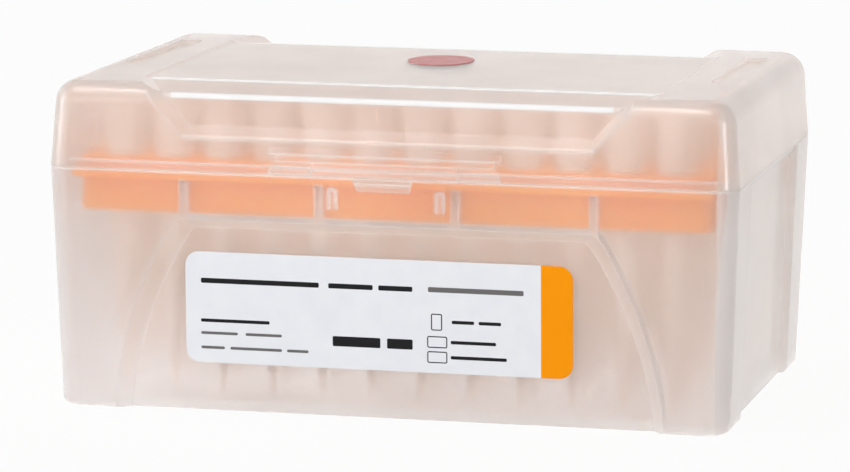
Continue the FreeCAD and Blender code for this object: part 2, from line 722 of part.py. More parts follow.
def lid_front_at(rise):
    """Y of the lid's front face at a height above the seam."""
    return f"(-dims.box_width / 2 + dims.lid_draft * ({rise}) / dims.lid_height)"


def grip_ridges():
    """Shingled ridges for the thumb, the lower ones between the two frames."""
    body = new_body("grip_ridges")
    halves = ["dims.ridge_short_half"] * 2 + ["(dims.ridge_half - dims.ridge_taper)",
                                               "dims.ridge_half"]
    for number, half in enumerate(halves):
        low = f"(dims.ridge_pitch * {number})"
        high = f"(dims.ridge_pitch * {number + 1})"
        edge = f"{lid_front_at(low)} - dims.ridge_proud"
        corners = [
            (edge, f"dims.seam_height + {low}"),
            (f"{lid_front_at(low)} + {SINK}", f"dims.seam_height + {low}"),
            (f"{lid_front_at(high)} + {SINK}", f"dims.seam_height + {high}"),
            (f"{lid_front_at(high)}", f"dims.seam_height + {high}"),
            (edge, f"dims.seam_height + {low} + dims.ridge_proud / 2"),
        ]
        sketch = outline(body, f"ridge_outline_{number}", "YZ_Plane", corners)
        pad(body, f"ridge_{number}", sketch, f"2 * {half}", middle=True)
    return body


def grip_frames():
    """A thin raised frame at each end of the lower ridges."""
    body = new_body("grip_frames")
    line, lean, high = "dims.frame_line", "dims.frame_lean", "dims.frame_height"
    left, right = "dims.frame_start", "(dims.frame_start + dims.frame_width)"
    low = "dims.lip_clearance"
    rim = [(left, low), (right, low), (f"{right} - {lean}", high), (f"{left} + {lean}", high)]
    inside = [
        (f"{left} + 1.5 * {line}", f"{low} + {line}"),
        (f"{right} - 1.5 * {line}", f"{low} + {line}"),
        (f"{right} - {lean} - {line}", f"{high} - {line}"),
        (f"{left} + {lean} + {line}", f"{high} - {line}"),
    ]
    sketch = outline(body, "frame_outline", "XZ_Plane", rim, on_lid_front(SINK), LID_LEAN,
                     holes=[inside])
    frame = pad(body, "frame", sketch, f"dims.frame_proud + {SINK}")
    mirror(body, "far_frame", [frame], "YZ_Plane")
    return body


def latch_tab():
    """The tab below the grip: a grooved section along X, trimmed to a tapering front."""
    section = new_body("tab_section")
    face = f"({lid_front_at(0)} - dims.tab_proud)"
    back = f"({lid_front_at(0)} - dims.tab_gap)"
    seam = "dims.seam_height"
    groove = f"({face} + dims.tab_step)"
    corners = [
        (back, f"{seam} - dims.tab_drop"),
        (back, f"{seam} + dims.tab_gap"),
        (f"{lid_front_at('dims.tab_gap')} + {SINK}", f"{seam} + dims.tab_gap"),
        (f"{lid_front_at('dims.tab_root')} + {SINK}", f"{seam} + dims.tab_root"),
        (lid_front_at("dims.tab_root"), f"{seam} + dims.tab_root"),
        (face, f"{seam} + dims.tab_gap"),
        (face, f"{seam} - 0.2 * dims.tab_drop"),
        (groove, f"{seam} - 0.25 * dims.tab_drop"),
        (face, f"{seam} - 0.35 * dims.tab_drop"),
        (face, f"{seam} - 0.5 * dims.tab_drop"),
        (groove, f"{seam} - 0.55 * dims.tab_drop"),
        (f"{back} - dims.tab_gap", f"{seam} - dims.tab_drop"),
    ]
    corners.reverse()
    sketch = outline(section, "tab_section_outline", "YZ_Plane", corners)
    pad(section, "tab_section_pad", sketch, "2 * dims.tab_half", middle=True)

    front = new_body("tab_front")
    corners = [
        ("-dims.tab_tip_half", f"{seam} - dims.tab_drop - {OVERSHOOT}"),
        ("dims.tab_tip_half", f"{seam} - dims.tab_drop - {OVERSHOOT}"),
        ("dims.tab_half", f"{seam} + dims.tab_gap"),
        ("dims.tab_half", f"{seam} + dims.tab_root + {OVERSHOOT}"),
        ("-dims.tab_half", f"{seam} + dims.tab_root + {OVERSHOOT}"),
        ("-dims.tab_half", f"{seam} + dims.tab_gap"),
    ]
    sketch = outline(front, "tab_front_outline", "XZ_Plane", corners)
    pad(front, "tab_front_pad", sketch, "dims.box_width")
    tab = document.addObject("Part::Common", "latch_tab")
    tab.Base = section
    tab.Tool = front
    document.recompute()
    return tab


def hinge_knuckles():
    """The lid's two knuckles, each with an arm to the lid and a stub at both ends."""
    body = new_body("hinge_knuckles")
    low, high = "dims.seam_height + dims.lip_clearance", "dims.seam_height + dims.knuckle_radius"
    inner = "dims.box_width / 2 - dims.lid_draft / 2 - dims.lip_clearance"
    stub_length = "dims.knuckle_length + 2 * (dims.ear_gap + dims.pin_length)"
    for number, side in enumerate((-1, 1), start=1):
        left = f"{side} * dims.hinge_spread - dims.knuckle_length / 2"
        sketch = outline(body, f"arm_outline_{number}", "YZ_Plane",
                         rectangle(inner, low, HINGE_Y, high), ("0", "0", left))
        pad(body, f"arm_{number}", sketch, "dims.knuckle_length")
        cylinder(body, f"barrel_{number}", "dims.knuckle_radius", "dims.knuckle_length",
                 (HINGE_Y, "dims.seam_height", left), "YZ_Plane")
        stub_start = f"{left} - dims.ear_gap - dims.pin_length"
        cylinder(body, f"stubs_{number}", "dims.pin_radius", stub_length,
                 (HINGE_Y, "dims.seam_height", stub_start), "YZ_Plane")
    return body


def make_lid():
    """The lid, moulded as one piece with its latch tab and hinge knuckles."""
    skin = lid_form("lid_skin", "0", edges_rounded=True)
    shell = cut_from("lid_shell", skin, lid_form("lid_hollow", "dims.wall"))
    shell = cut_from("lid_shell_rebated", shell, lid_rebate())
    extras = [grip_ridges(), grip_frames(), latch_tab(), hinge_knuckles()]
    return fuse("lid", [shell] + extras)


# ---------------------------------------------------------------- tray, tips and filters


def make_tray():
    """The tray: flange, raised deck with its holes, and skirt."""
    flange = new_body("tray_flange")
    block = wedge(flange, "flange_block", FLANGE_BOTTOM, FLANGE_TOP,
                  (FLANGE_HALF_LENGTH, FLANGE_HALF_WIDTH))
    fillet(flange, "flange_corners", block, "dims.flange_round", climbs)

    core = new_body("tray_core")
    skirt_low = f"({FLANGE_TOP} - dims.skirt_depth)"
    block = wedge(core, "core_block", skirt_low, DECK_TOP, (SKIRT_HALF_LENGTH, SKIRT_HALF_WIDTH))
    fillet(core, "core_corners", block, "dims.skirt_round", climbs)

    inside = new_body("tray_inside")
    inner_half = [f"({half} - dims.tray_wall)" for half in (SKIRT_HALF_LENGTH, SKIRT_HALF_WIDTH)]
    block = wedge(inside, "inside_block", f"{skirt_low} - {OVERSHOOT}",
                  f"({DECK_TOP} - dims.deck_thickness)", inner_half)
    fillet(inside, "inside_corners", block, "dims.skirt_round - dims.tray_wall", climbs)

    holes = new_body("tray_holes")
    corner = [f"-dims.tip_pitch * {(count - 1) / 2}" for count in (TIP_COLUMNS, TIPS_PER_COLUMN)]
    hole = cylinder(holes, "hole", HOLE_RADIUS, "3 * dims.deck_thickness",
                    (corner[0], corner[1], f"{DECK_TOP} - 2 * dims.deck_thickness"))
    grid_of(holes, "hole_grid", hole, [("X_Axis", "dims.tip_pitch", TIP_COLUMNS),
                                       ("Y_Axis", "dims.tip_pitch", TIPS_PER_COLUMN)])
    body = cut_from("tray_body", fuse("tray_block", [flange, core]), inside)
    return cut_from("tip_tray", body, holes)


def column_place(body, number):
    """Moves a column to its place in the grid, its first tip at the front."""
    bind(body, Placement__Base__x=f"dims.tip_pitch * {number - (TIP_COLUMNS + 1) / 2}",
         Placement__Base__y=f"-dims.tip_pitch * {(TIPS_PER_COLUMN - 1) / 2}")
    document.recompute()


def make_tip_column(number):
    """Eight tips in a row along Y, each turned about its own axis."""
    body = new_body(f"tip_column_{number:02d}")
    taper = f"({DECK_TOP} / 3 + 2 * {POINT} / 3)"
    seat = f"({FILTER_TOP} - dims.filter_length)"
    rim_radius = f"{HEAD_RADIUS} + dims.rim_proud"
    profile = [
        ("dims.point_bore", POINT),
        ("dims.point_radius", POINT),
        ("dims.shaft_radius", taper),
        (NECK_RADIUS, DECK_TOP),
        (HEAD_RADIUS, DECK_TOP),
        (HEAD_RADIUS, f"{MOUTH_TOP} - dims.rim_height"),
        (rim_radius, f"{MOUTH_TOP} - dims.rim_height"),
        (rim_radius, MOUTH_TOP),
        ("dims.mouth_radius", MOUTH_TOP),
        ("dims.mouth_radius", FILTER_TOP),
        (SEAT_RADIUS, FILTER_TOP),
        (SEAT_RADIUS, seat),
        (f"{NECK_RADIUS} - dims.neck_wall", f"{seat} - {OVERSHOOT}"),
        ("dims.shaft_bore", taper),
    ]
    sketch = outline(body, f"tip_profile_{number:02d}", "XZ_Plane", profile)
    tip = body.newObject("PartDesign::Revolution", f"tip_{number:02d}")
    tip.Profile = (sketch, [""])
    tip.ReferenceAxis = (sketch, ["V_Axis"])
    tip.Angle = 360.0
    document.recompute()
    row_of(body, f"tip_row_{number:02d}", tip, "Y_Axis", "dims.tip_pitch", TIPS_PER_COLUMN)
    column_place(body, number)
    return body


def make_filter_column(number):
    """The eight porous plugs of one column of tips."""
    body = new_body(f"filter_column_{number:02d}")
    plug = cylinder(body, f"plug_{number:02d}", f"{SEAT_RADIUS} - dims.filter_clearance",
                    "dims.filter_length", ("0", "0", f"{FILTER_TOP} - dims.filter_length"))
    row_of(body, f"plug_row_{number:02d}", plug, "Y_Axis", "dims.tip_pitch", TIPS_PER_COLUMN)
    column_place(body, number)
    return body


# ---------------------------------------------------------------- label and sticker


def make_label():
    """The paper label on the front panel."""
    body = new_body("front_label")
    right, high = "(dims.label_left + dims.label_length)", "(dims.label_bottom + dims.label_height)"
    corners = rectangle("dims.label_left", "dims.label_bottom", right, high)
    place = on_tub_side("box_width", "dims.panel_depth")
    sketch = outline(body, "label_outline", "XZ_Plane", corners, place, tub_lean("box_width"))
    sheet = pad(body, "label_sheet", sketch, "dims.label_thickness")
    fillet(body, "label_corners", sheet, "dims.label_round",
           lambda box: max(box.XLength, box.ZLength) < dims.label_thickness)
    return body


def make_sticker():
    """The oval indicator on the lid's crown."""
    body = new_body("indicator_sticker")
    sketch = body.newObject("Sketcher::SketchObject", "sticker_outline")
    attach(sketch, body, "XY_Plane", ("dims.sticker_right", "dims.sticker_back", CROWN_TOP))
    across, along = dims.sticker_half_length, dims.sticker_half_width
    sketch.addGeometry(Part.Ellipse(Vector(0, along, 0), Vector(across, 0, 0), Vector(0, 0, 0)))
    pad(body, "sticker_film", sketch, "dims.sticker_thickness")
    return body


# ---------------------------------------------------------------- check and write


def check_document():
    """Stops if any object of the document failed to build."""
    document.recompute()
    failed = [f"{item.Name}: {item.State}" for item in document.Objects
              if "Invalid" in item.State or "Error" in item.State]
    if failed:
        raise RuntimeError("these objects failed: " + "; ".join(failed))


def write_node(node):
    """Writes one sub-part after testing its shape, and says what it holds."""
    shape = node.Shape
    if shape.isNull() or not shape.isValid() or not shape.Solids:
        raise RuntimeError(f"{node.Label} has no valid solid")
    shape.exportStep(os.path.join("parts", f"{node.Label}.step"))
    print(f"{node.Label}: {len(shape.Solids)} solids, {shape.Volume:.1f} mm3")


def main():
    """Builds every sub-part, tests them all, then writes the files."""
    os.makedirs("parts", exist_ok=True)
    nodes = [make_tub(), make_lid(), make_tray(), make_label(), make_sticker()]
    for number in range(1, TIP_COLUMNS + 1):
        nodes.append(make_tip_column(number))
        nodes.append(make_filter_column(number))
    check_document()
    for node in nodes:
        write_node(node)


main()
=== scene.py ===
"""Looks of a hinged rack box of filter pipette tips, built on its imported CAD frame.

Every visible shape is a CAD node; this script gives each its finish and adds the floor, the
lamps and the camera. Lengths are in metres and the frame is the CAD's: +Z up, the latch tab
towards -Y, the origin at the middle of the foot.
"""

import logging
import math
from dataclasses import dataclass
from enum import Enum
from typing import Protocol

import bmesh
import bpy
from mathutils import Matrix, Vector


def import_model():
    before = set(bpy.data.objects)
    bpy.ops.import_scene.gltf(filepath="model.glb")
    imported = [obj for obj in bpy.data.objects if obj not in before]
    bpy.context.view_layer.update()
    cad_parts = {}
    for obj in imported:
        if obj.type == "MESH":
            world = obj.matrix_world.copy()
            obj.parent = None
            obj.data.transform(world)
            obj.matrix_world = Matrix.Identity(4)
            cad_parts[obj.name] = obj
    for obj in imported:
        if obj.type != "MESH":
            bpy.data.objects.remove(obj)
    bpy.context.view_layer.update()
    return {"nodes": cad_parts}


log = logging.getLogger("tip_box")

Colour = tuple[float, float, float]
Point = tuple[float, float, float]
MM = 0.001
WHITE = (1.0, 1.0, 1.0, 1.0)

# The part of a noise's range that is spread over a finish, and its octaves, plain and cloudy.
NOISE_LOW, NOISE_HIGH = 0.3, 0.7
PLAIN_DETAIL, CLOUDY_DETAIL = 2.0, 3.0

# Edge radius of a milky zone and of a printed mark, and the half size of an endless side.
ZONE_ROUND = 0.0002
MARK_ROUND = 0.00024
ENDLESS = 1.0


def linear(red: int, green: int, blue: int) -> Colour:
    """Turn an 8-bit display colour into the linear one that shaders take.

    Args:
        red: red, 0 to 255.
        green: green, 0 to 255.
        blue: blue, 0 to 255.

    Returns:
        The linear colour.
    """
    def channel(value: int) -> float:
        """One channel from display to linear."""
        part = value / 255
        return part / 12.92 if part <= 0.04045 else ((part + 0.055) / 1.055) ** 2.4
    return channel(red), channel(green), channel(blue)


class Piece(Enum):
    """The kinds of CAD node, by name or by the name before a column's number."""

    TUB = "base_tub"
    LID = "lid"
    TRAY = "tip_tray"
    TIPS = "tip_column"
    FILTERS = "filter_column"
    LABEL = "front_label"
    STICKER = "indicator_sticker"


class Seen(Enum):
    """The kinds of ray that see the surround as white and the floor as nearly so."""

    CAMERA = "Is Camera Ray"
    GLOSSY = "Is Glossy Ray"
    TRANSMISSION = "Is Transmission Ray"


@dataclass(frozen=True)
class Relief:
    """Fine relief of a surface: features per metre, height in metres, strength from 0 to 1."""

    scale: float
    height: float
    strength: float


class NodeTree:
    """A short way to add and join the nodes of one material."""

    def __init__(self, name: str) -> None:
        """Start an empty material with one Principled shader.

        Args:
            name: the material's name.
        """
        self.material = bpy.data.materials.new(name)
        self.material.use_nodes = True
        self.tree = self.material.node_tree
        self.tree.nodes.clear()
        self.output = self.add("ShaderNodeOutputMaterial")
        self.shader = self.add("ShaderNodeBsdfPrincipled")
        self.join(self.shader, "BSDF", self.output, "Surface")
        self.place = self.add("ShaderNodeTexCoord")

    def add(self, kind: str, **settings: object) -> bpy.types.Node:
        """Add a node.

        Args:
            kind: the node's type name.
            **settings: properties of the node to set.

        Returns:
            The new node.
        """
        node = self.tree.nodes.new(kind)
        for name, value in settings.items():
            setattr(node, name, value)
        return node

    def join(self, source: bpy.types.Node, out: str | int, target: bpy.types.Node,
             into: str | int) -> None:
        """Link one node's output to another's input.

        Args:
            source: the node that gives.
            out: its output.
            target: the node that takes.
            into: its input.
        """
        self.tree.links.new(source.outputs[out], target.inputs[into])

    def set(self, **values: object) -> None:
        """Set plain values on the shader's own sockets, an underscore standing for a space.

        Args:
            **values: socket name to value.
        """
        for name, value in values.items():
            self.shader.inputs[name.replace("_", " ")].default_value = value

    def pass_lamps(self, share: float, tint: Colour) -> None:
        """Let part of the lamps' light straight through, as thin milky plastic does.

        Args:
            share: how much of it goes through each face.
            tint: its colour afterwards.
        """
        path = self.add("ShaderNodeLightPath")
        part = self.add("ShaderNodeMath", operation="MULTIPLY")
        part.inputs[1].default_value = share
        self.join(path, "Is Shadow Ray", part, 0)
        clear = self.add("ShaderNodeBsdfTransparent")
        clear.inputs["Color"].default_value = (*tint, 1.0)
        mix = self.add("ShaderNodeMixShader")
        self.join(part, 0, mix, "Fac")
        self.join(self.shader, "BSDF", mix, 1)
        self.join(clear, "BSDF", mix, 2)
        self.join(mix, "Shader", self.output, "Surface")

    def box_distance(self, centre: Point, half: Point, rounding: float) -> bpy.types.Node:
        """Measure how far a point of the object lies outside a round-edged box.

        Args:
            centre: the box's middle.
            half: half its size along X, Y and Z.
            rounding: radius of its edges.

        Returns:
            The last node, below 0 inside the box.
        """
        steps = (("SUBTRACT", centre), ("ABSOLUTE", None),
                 ("SUBTRACT", tuple(size - rounding for size in half)),
                 ("MAXIMUM", (0.0, 0.0, 0.0)), ("LENGTH", None))
        last, out = self.place, "Object"
        for operation, value in steps:
            step = self.add("ShaderNodeVectorMath", operation=operation)
            self.join(last, out, step, 0)
            if value is not None:
                step.inputs[1].default_value = value
            last, out = step, "Value" if operation == "LENGTH" else "Vector"
        return self.math("SUBTRACT", last, rounding, out=out)

    def inside(self, centre: Point, half: Point) -> bpy.types.Node:
        """Find whether a point of the object lies in a box.

        Args:
            centre: the box's middle.
            half: half its size along X, Y and Z.

        Returns:
            The node that gives 1 inside and 0 outside.
        """
        return self.math("LESS_THAN", self.box_distance(centre, half, ZONE_ROUND), 0.0)

    def math(self, operation: str, source: bpy.types.Node, value: float | bpy.types.Node,
             out: str | int = 0) -> bpy.types.Node:
        """Add a Math node on a node's output.

        Args:
            operation: the node's operation.
            source: the node that gives the first number.
            value: the second number, or the node that gives it.
            out: which output of the source is used.

        Returns:
            The Math node.
        """
        node = self.add("ShaderNodeMath", operation=operation)
        self.join(source, out, node, 0)
        if isinstance(value, bpy.types.Node):
            self.join(value, 0, node, 1)
        else:
            node.inputs[1].default_value = value
        return node

    def swap(self, factor: bpy.types.Node, first: bpy.types.Node, second: float) -> bpy.types.Node:
        """Change a number into another where a factor is 1.

        Args:
            factor: the node whose first output is the factor.
            first: the node that gives the number.
            second: the other number.

        Returns:
            The mix node.
        """
        mixed = self.add("ShaderNodeMix")
        self.join(factor, 0, mixed, "Factor")
        self.join(first, 0, mixed, "A")
        mixed.inputs["B"].default_value = second
        return mixed

    def noise(self, scale: float, detail: float = PLAIN_DETAIL,
              stretch: Point = (1.0, 1.0, 1.0)) -> bpy.types.Node:
        """Add a noise that lies still on the object.

        Args:
            scale: features per metre.
            detail: octaves.
            stretch: scale along X, Y and Z, multiplied in.

        Returns:
            The noise node, whose Fac output is used.
        """
        mapping = self.add("ShaderNodeMapping")
        mapping.inputs["Scale"].default_value = stretch
        self.join(self.place, "Object", mapping, "Vector")
        noise = self.add("ShaderNodeTexNoise")
        noise.inputs["Scale"].default_value = scale
        noise.inputs["Detail"].default_value = detail
        self.join(mapping, "Vector", noise, "Vector")
        return noise

    def spread(self, source: bpy.types.Node, low: float, high: float) -> bpy.types.Node:
        """Spread the middle of a factor's range over another range.

        Args:
            source: the node whose first output is the factor.
            low: value where the noise is weak.
            high: value where it is strong.

        Returns:
            The Map Range node.
        """
        mapped = self.add("ShaderNodeMapRange")
        mapped.inputs["From Min"].default_value = NOISE_LOW
        mapped.inputs["From Max"].default_value = NOISE_HIGH
        mapped.inputs["To Min"].default_value = low
        mapped.inputs["To Max"].default_value = high
        self.join(source, 0, mapped, "Value")
        return mapped

    def blend(self, factor: bpy.types.Node, first: Colour, second: Colour) -> bpy.types.Node:
        """Mix two colours by a factor and feed the shader's base colour.

        Args:
            factor: the node whose first output is the factor.
            first: colour at 0.
            second: colour at 1.

        Returns:
            The mix node.
        """
        mix = self.add("ShaderNodeMix", data_type="RGBA")
        mix.inputs["A"].default_value = (*first, 1.0)
        mix.inputs["B"].default_value = (*second, 1.0)
        self.join(factor, 0, mix, "Factor")
        self.join(mix, "Result", self.shader, "Base Color")
        return mix

    def cover(self, factor: bpy.types.Node, under: bpy.types.Node,
              colour: Colour) -> bpy.types.Node:
        """Lay a colour over the base colour where a factor is 1.

        Args:
            factor: the node whose first output is the factor.
            under: the mix node that gives the base colour so far.
            colour: the colour laid over it.

        Returns:
            The new mix node.
        """
        mix = self.add("ShaderNodeMix", data_type="RGBA")
        mix.inputs["B"].default_value = (*colour, 1.0)
        self.join(under, "Result", mix, "A")
        self.join(factor, 0, mix, "Factor")
        self.join(mix, "Result", self.shader, "Base Color")
        return mix

    def mottle(self, scale: float, detail: float, first: Colour,
               second: Colour) -> bpy.types.Node:
        """Vary the base colour softly between two colours.

        Args:
            scale: patches per metre.
            detail: octaves.
            first: the one colour.
            second: the other colour.

        Returns:
            The mix node.
        """
        return self.blend(self.spread(self.noise(scale, detail), 0.0, 1.0), first, second)

    def roughen(self, source: bpy.types.Node, low: float, high: float) -> None:
        """Vary the roughness between two values.

        Args:
            source: the node whose first output is the factor.
            low: roughness where the factor is weak.
            high: roughness where it is strong.
        """
        self.join(self.spread(source, low, high), 0, self.shader, "Roughness")

    def bump(self, source: bpy.types.Node, relief: Relief) -> None:
        """Feed a bump to the shader's normal.

        Args:
            source: the node whose first output is the height.
            relief: how high and how strong it is.
        """
        bump = self.add("ShaderNodeBump")
        bump.inputs["Distance"].default_value = relief.height
        bump.inputs["Strength"].default_value = relief.strength
        self.join(source, 0, bump, "Height")
        self.join(bump, "Normal", self.shader, "Normal")

    def grain(self, relief: Relief) -> None:
        """Give the surface an even grain.

        Args:
            relief: its scale, height and strength.
        """
        self.bump(self.noise(relief.scale), relief)


@dataclass(frozen=True)
class MilkyZone:
    """A box in which the shell lets less through, with its place and strength given one by one."""

    centre: Point
    half: Point
    see_through: float


@dataclass(frozen=True)
class FrostedShell:
    """Frosted polypropylene of the tub and lid: milky aslant and at edges, finely textured.

    The index is lower than the plastic's real 1.49, for the look. The right end is set milkier
    than the left, though its wall is no thicker.
    """

    name: str = "frosted_shell"
    clear: Colour = linear(242, 239, 239)
    cloud: Colour = linear(231, 226, 224)
    # Near white painted along the highlight lines as painted highlights.
    painted_highlight_white: Colour = linear(254, 254, 254)
    see_through: float = 0.90
    see_aslant: float = 0.78
    see_edges: float = 0.15
    edge_width: float = 0.0006
    edge_flat: float = 0.995
    edge_bent: float = 0.90
    edge_samples: int = 3
    aslant_blend: float = 0.5
    aslant_power: float = 3.0
    roughness: float = 0.53
    roughness_swing: float = 0.04
    index: float = 1.18
    coat: float = 0.6
    coat_roughness: float = 0.14
    coat_index: float = 1.45
    clouds: float = 28.0
    patches: float = 55.0
    relief: Relief = Relief(2600.0, 0.00003, 0.35)
    lamp_share: float = 1.0
    lamp_tint: Colour = linear(254, 252, 250)
    # The ribs, the right end and the left end.
    zones: tuple[MilkyZone, ...] = (
        MilkyZone((0.0, 0.0, 0.03895), (0.056, 0.0396, 0.00375), 0.36),
        MilkyZone((0.0610, 0.0, 0.0210), (0.0030, 0.0400, 0.0230), 0.38),
        MilkyZone((-0.0610, 0.0, 0.0210), (0.0030, 0.0400, 0.0230), 0.65),
    )
    # Lines painted near white and made nearly opaque as painted highlights; none on the tub.
    painted_highlight_lines: tuple[MilkyZone, ...] = ()

    def build(self) -> bpy.types.Material:
        """Make the material."""
        tree = NodeTree(self.name)
        tree.set(IOR=self.index, Coat_Weight=self.coat, Coat_Roughness=self.coat_roughness,
                 Coat_IOR=self.coat_index)
        tree.join(self.clearness(tree), 0, tree.shader, "Transmission Weight")
        colour = tree.mottle(self.clouds, CLOUDY_DETAIL, self.clear, self.cloud)
        # Painted highlight: near white laid over the base colour along each line.
        for highlight_line in self.painted_highlight_lines:
            colour = tree.cover(tree.inside(highlight_line.centre, highlight_line.half), colour, self.painted_highlight_white)
        tree.roughen(tree.noise(self.patches, CLOUDY_DETAIL),
                     self.roughness - self.roughness_swing, self.roughness + self.roughness_swing)
        tree.grain(self.relief)
        tree.pass_lamps(self.lamp_share, self.lamp_tint)
        return tree.material

    def clearness(self, tree: NodeTree) -> bpy.types.Node:
        """Work out how see-through the plastic is: less aslant, in its zones, along the painted
        highlight lines and at edges.

        Args:
            tree: the material's nodes.

        Returns:
            The node that gives the transmission.
        """
        aslant = tree.add("ShaderNodeLayerWeight")
        aslant.inputs["Blend"].default_value = self.aslant_blend
        length = tree.math("POWER", aslant, self.aslant_power, out="Facing")
        seen = tree.add("ShaderNodeMapRange")
        seen.inputs["To Min"].default_value = self.see_through
        seen.inputs["To Max"].default_value = self.see_aslant
        tree.join(length, 0, seen, "Value")
        for zone in self.zones + self.painted_highlight_lines:
            seen = tree.swap(tree.inside(zone.centre, zone.half), seen, zone.see_through)
        return tree.swap(self.edges(tree), seen, self.see_edges)

    def edges(self, tree: NodeTree) -> bpy.types.Node:
        """Find the narrow rounded edges, where light goes a long way through the plastic.

        Args:
            tree: the material's nodes.

        Returns:
            The node that gives 1 on an edge and 0 elsewhere.
        """
        rounded = tree.add("ShaderNodeBevel", samples=self.edge_samples)
        rounded.inputs["Radius"].default_value = self.edge_width
        tree.join(rounded, "Normal", tree.shader, "Coat Normal")
        plain = tree.add("ShaderNodeNewGeometry")
        along = tree.add("ShaderNodeVectorMath", operation="DOT_PRODUCT")
        tree.join(rounded, "Normal", along, 0)
        tree.join(plain, "True Normal", along, 1)
        bend = tree.add("ShaderNodeMapRange")
        bend.inputs["From Min"].default_value = self.edge_flat
        bend.inputs["From Max"].default_value = self.edge_bent
        tree.join(along, "Value", bend, "Value")
        return bend


@dataclass(frozen=True)
class WarmShell(FrostedShell):
    """The lid's plastic, set a little warmer: painted warm light, standing for the tray's orange
    light scattered in it.
    """

    name: str = "frosted_lid"
    # Warmer colours than the tub's: painted orange light from the tray.
    clear: Colour = linear(241, 235, 232)
    cloud: Colour = linear(230, 221, 216)
    # The thumb ridges, the right end and the left end.
    zones: tuple[MilkyZone, ...] = (
        MilkyZone((0.0, -0.0420, 0.04540), (0.0206, 0.0013, 0.0025), 0.80),
        MilkyZone((0.0610, 0.0, 0.0510), (0.0030, 0.0400, 0.0090), 0.48),
        MilkyZone((-0.0610, 0.0, 0.0510), (0.0030, 0.0400, 0.0090), 0.65),
    )
    # Painted highlights: the brow's rounded edge and the step up to the crown, at front and back,
    # painted near white and made nearly opaque.
    painted_highlight_lines: tuple[MilkyZone, ...] = (
        MilkyZone((0.0, -0.03720, 0.05590), (0.0395, 0.0006, 0.00055), 0.10),
        MilkyZone((0.0, 0.03720, 0.05590), (0.0395, 0.0006, 0.00055), 0.10),
        MilkyZone((0.0, -0.02780, 0.05755), (0.0457, 0.0007, 0.0004), 0.10),
        MilkyZone((0.0, 0.02780, 0.05755), (0.0457, 0.0007, 0.0004), 0.10),
    )


@dataclass(frozen=True)
class TrayPlastic:
    """Orange polypropylene of the tray, satin and faintly uneven."""

    name: str = "orange_tray"
    light: Colour = linear(255, 168, 60)
    deep: Colour = linear(253, 156, 46)
    roughness: float = 0.42
    roughness_swing: float = 0.05
    index: float = 1.49
    depth_share: float = 0.15
    # How deep red, green and blue light goes, in metres.
    depth: Point = (0.004, 0.002, 0.001)
    clouds: float = 40.0
    patches: float = 120.0
    relief: Relief = Relief(1800.0, 0.00003, 0.3)
    lamp_share: float = 1.0
    lamp_tint: Colour = linear(255, 249, 241)

    def build(self) -> bpy.types.Material:
        """Make the material."""
        tree = NodeTree(self.name)
        tree.set(IOR=self.index, Subsurface_Weight=self.depth_share,
                 Subsurface_Radius=self.depth, Subsurface_Scale=1.0)
        tree.mottle(self.clouds, CLOUDY_DETAIL, self.light, self.deep)
        tree.roughen(tree.noise(self.patches), self.roughness - self.roughness_swing,
                     self.roughness + self.roughness_swing)
        tree.grain(self.relief)
        tree.pass_lamps(self.lamp_share, self.lamp_tint)
        return tree.material


@dataclass(frozen=True)
class TipPlastic:
    """Natural polypropylene of the tips, milky with fine lines along each tip.

    The index is lower than the plastic's real 1.49, for the look.
    """

    name: str = "clear_tip"
    # The warm tint is painted orange light from the tray, over the plastic's own milky colour.
    clear: Colour = linear(245, 236, 230)
    cloud: Colour = linear(240, 229, 222)
    see_through: float = 0.50
    roughness: float = 0.55
    roughness_swing: float = 0.06
    index: float = 1.15
    clouds: float = 60.0
    line_stretch: Point = (1.0, 1.0, 0.05)
    relief: Relief = Relief(900.0, 0.00002, 0.3)

    def build(self) -> bpy.types.Material:
        """Make the material."""
        tree = NodeTree(self.name)
        tree.set(IOR=self.index, Transmission_Weight=self.see_through)
        tree.mottle(self.clouds, PLAIN_DETAIL, self.clear, self.cloud)
        lines = tree.noise(self.relief.scale, stretch=self.line_stretch)
        tree.roughen(lines, self.roughness - self.roughness_swing,
                     self.roughness + self.roughness_swing)
        tree.bump(lines, self.relief)
        return tree.material


@dataclass(frozen=True)
class PorousFilter:
    """Sintered white polyethylene of the filters, with open pores whose pits are painted darker as
    painted shade.
    """

    name: str = "porous_filter"
    body: Colour = linear(247, 245, 240)
    painted_pore_shade: Colour = linear(214, 210, 202)
    roughness: float = 0.9
    relief: Relief = Relief(4200.0, 0.00008, 0.6)

    def build(self) -> bpy.types.Material:
        """Make the material."""
        tree = NodeTree(self.name)
        tree.set(Roughness=self.roughness)
        pores = tree.add("ShaderNodeTexVoronoi")
        pores.inputs["Scale"].default_value = self.relief.scale
        tree.join(tree.place, "Object", pores, "Vector")
        # Painted shade: the pits of the pores take the darker colour.
        tree.blend(tree.spread(pores, 1.0, 0.0), self.body, self.painted_pore_shade)
        tree.bump(pores, self.relief)
        return tree.material


@dataclass(frozen=True)
class PrintMark:
    """One plain printed bar or frame on the label, in millimetres across and up."""

    left: float
    right: float
    low: float
    high: float
    framed: bool = False


